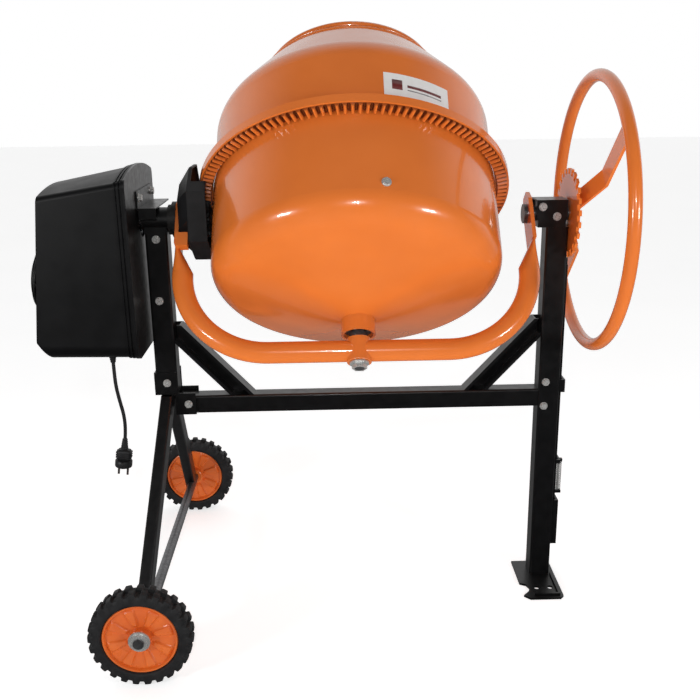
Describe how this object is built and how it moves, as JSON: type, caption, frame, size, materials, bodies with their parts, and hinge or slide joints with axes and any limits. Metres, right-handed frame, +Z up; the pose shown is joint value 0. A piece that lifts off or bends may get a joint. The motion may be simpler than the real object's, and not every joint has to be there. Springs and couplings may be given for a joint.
{
  "type": "concrete mixer",
  "caption": "Electric concrete mixer on a two-wheeled stand: tilting drum with ring gear, yoke, handwheel, foot lock and motor box.",
  "frame": {"origin": "on the floor under the middle of the overall length and width", "axes": "+X along the tilt axis towards the handwheel, +Y the way the drum leans at rest, its mouth side, +Z up"},
  "size_m": [1.18, 0.8, 1.2267],
  "materials": {
    "frame_paint": "semi-gloss black powder coat",
    "orange_paint": "glossy orange paint",
    "zinc": "zinc plated",
    "bare_steel": "turned steel",
    "cast_iron": "dark cast iron",
    "black_plastic": "fine grained black plastic",
    "pulley_metal": "cast aluminium",
    "wheel_plastic": "orange plastic",
    "tyre_rubber": "matt black rubber",
    "cord_rubber": "black rubber",
    "pin_metal": "nickel plated brass",
    "label": "blank printed sticker",
    "green_button": "green plastic",
    "red_button": "red plastic"
  },
  "bodies": {
    "frame": {"left_post": "frame_paint", "right_post": "frame_paint", "cross_beam": "frame_paint", "left_brace": "frame_paint", "right_brace": "frame_paint", "left_corner_bracket": "frame_paint", "front_leg": "frame_paint", "rear_leg": "frame_paint", "axle": "bare_steel", "wheel_caps": "zinc", "foot_plate": "frame_paint", "lock_guides": "frame_paint", "left_bearing_housing": "frame_paint", "right_bearing_block": "frame_paint", "right_bearing_cap": "frame_paint", "motor_box_bracket": "frame_paint", "motor_back_plate": "frame_paint", "motor_cover": "black_plastic", "vent_cage": "black_plastic", "motor_housing": "pulley_metal", "drive_belt": "cord_rubber", "switch_box": "black_plastic", "cable_gland": "cord_rubber", "mains_cord": "cord_rubber", "plug_body": "cord_rubber", "plug_pins": "pin_metal", "frame_bolts": "zinc"},
    "rotor": {"motor_shaft": "bare_steel", "motor_pulley": "pulley_metal", "cooling_fan": "black_plastic"},
    "pinion_group": {"pinion": "cast_iron", "pinion_shaft": "bare_steel", "big_pulley": "pulley_metal"},
    "yoke": {"yoke": "orange_paint", "right_trunnion": "bare_steel", "pinion_housing": "cast_iron", "pinion_guard": "black_plastic", "handwheel_rim": "orange_paint", "handwheel_bar": "orange_paint", "lock_disc": "orange_paint", "hub_bolts": "zinc", "drum_shaft": "bare_steel", "shaft_nut": "zinc"},
    "drum": {"drum_bearings": "bare_steel", "drum_boss": "orange_paint", "drum_lower_shell": "orange_paint", "drum_upper_shell": "orange_paint", "ring_gear": "orange_paint", "mixing_blades": "orange_paint", "blade_bolts": "zinc", "label_plate": "label"},
    "front_wheel": {"front_tyre": "tyre_rubber", "front_wheel_disc": "wheel_plastic"},
    "rear_wheel": {"rear_tyre": "tyre_rubber", "rear_wheel_disc": "wheel_plastic"},
    "lock": {"lock_rod": "frame_paint", "lock_pedal": "frame_paint", "lock_spring": "zinc"},
    "start_button": {"start_button": "green_button"},
    "stop_button": {"stop_button": "red_button"}
  },
  "joints": [
    {"name": "tilt", "type": "hinge", "parent": "frame", "child": "yoke", "pos_m": [0.08328, 0, 0.84], "axis": [-1, 0, 0], "range_deg": [-45, 90]},
    {"name": "drum_spin", "type": "hinge", "parent": "yoke", "child": "drum", "pos_m": [0.08328, 0, 0.84], "axis": [0, 0.6428, 0.766], "continuous": true},
    {"name": "pinion_spin", "type": "hinge", "parent": "yoke", "child": "pinion_group", "pos_m": [0.08328, 0, 0.84], "axis": [1, 0, 0], "continuous": true},
    {"name": "motor_spin", "type": "hinge", "parent": "frame", "child": "rotor", "pos_m": [0.08328, 0, 0.722], "axis": [1, 0, 0], "continuous": true},
    {"name": "front_wheel_spin", "type": "hinge", "parent": "frame", "child": "front_wheel", "pos_m": [-0.34472, -0.367, 0.1], "axis": [0, 1, 0], "continuous": true},
    {"name": "rear_wheel_spin", "type": "hinge", "parent": "frame", "child": "rear_wheel", "pos_m": [-0.34472, 0.367, 0.1], "axis": [0, 1, 0], "continuous": true},
    {"name": "lock_slide", "type": "slide", "parent": "frame", "child": "lock", "axis": [0, 0, 1], "range_m": [0, 0.012], "deforming": ["lock_spring"]},
    {"name": "start_press", "type": "slide", "parent": "frame", "child": "start_button", "axis": [0, -1, 0], "range_m": [0, 0.003], "stiffness_N_per_m": 300},
    {"name": "stop_press", "type": "slide", "parent": "frame", "child": "stop_button", "axis": [0, -1, 0], "range_m": [0, 0.003], "stiffness_N_per_m": 300}
  ],
  "couplings": [
    {"joint": "pinion_spin", "follows": "drum_spin", "ratio": 8.75},
    {"joint": "motor_spin", "follows": "drum_spin", "ratio": 105}
  ]
}
